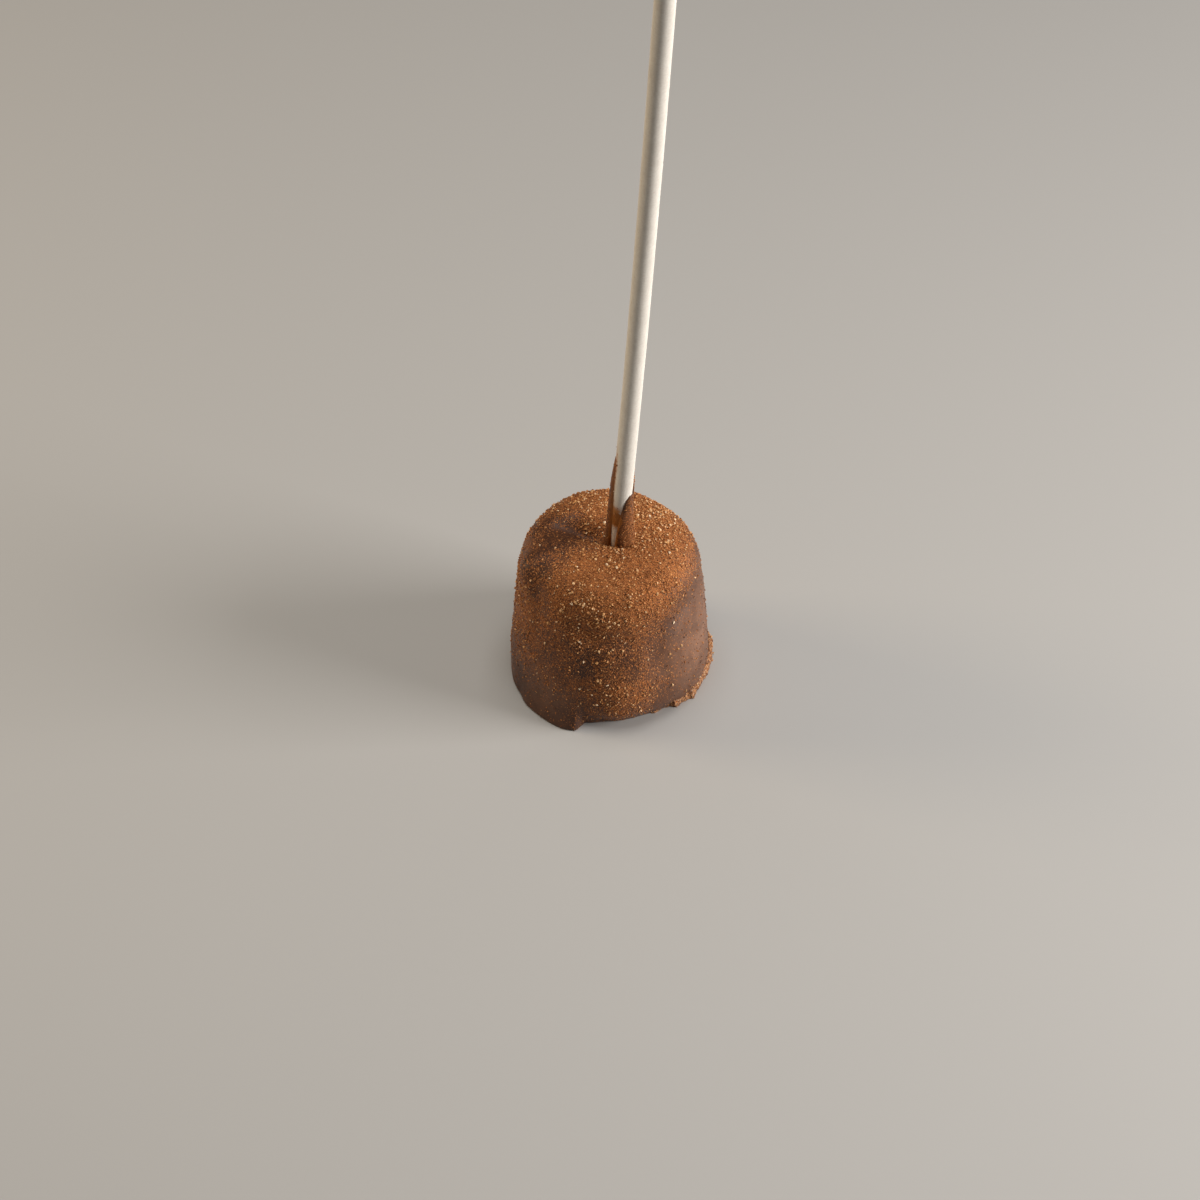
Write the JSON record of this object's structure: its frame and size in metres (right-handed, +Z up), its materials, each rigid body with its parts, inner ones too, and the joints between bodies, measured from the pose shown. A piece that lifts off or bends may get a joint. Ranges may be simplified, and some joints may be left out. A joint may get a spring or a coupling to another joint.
{
  "type": "chocolate-coated marshmallow on a stick",
  "caption": "Marshmallow dipped in chocolate and dusted with cocoa powder, standing on its flat underside, with a paper stick pushed slantwise into its top.",
  "frame": {"origin": "middle of the flat underside, on the surface that it stands on", "axes": "+Z up, -Y the front, which faces the viewer, +X the right as the viewer sees it; the stick leans towards the front and a little to the right"},
  "size_m": [0.0375, 0.058, 0.2047],
  "materials": {
    "chocolate": "set dark chocolate, satin to matt, dusted with orange-brown cocoa powder and a few pale crystals",
    "paper": "tightly rolled white paper, uncoated and matt"
  },
  "bodies": {
    "root": {"coated_marshmallow": "chocolate", "paper_stick": "paper"}
  },
  "joints": []
}
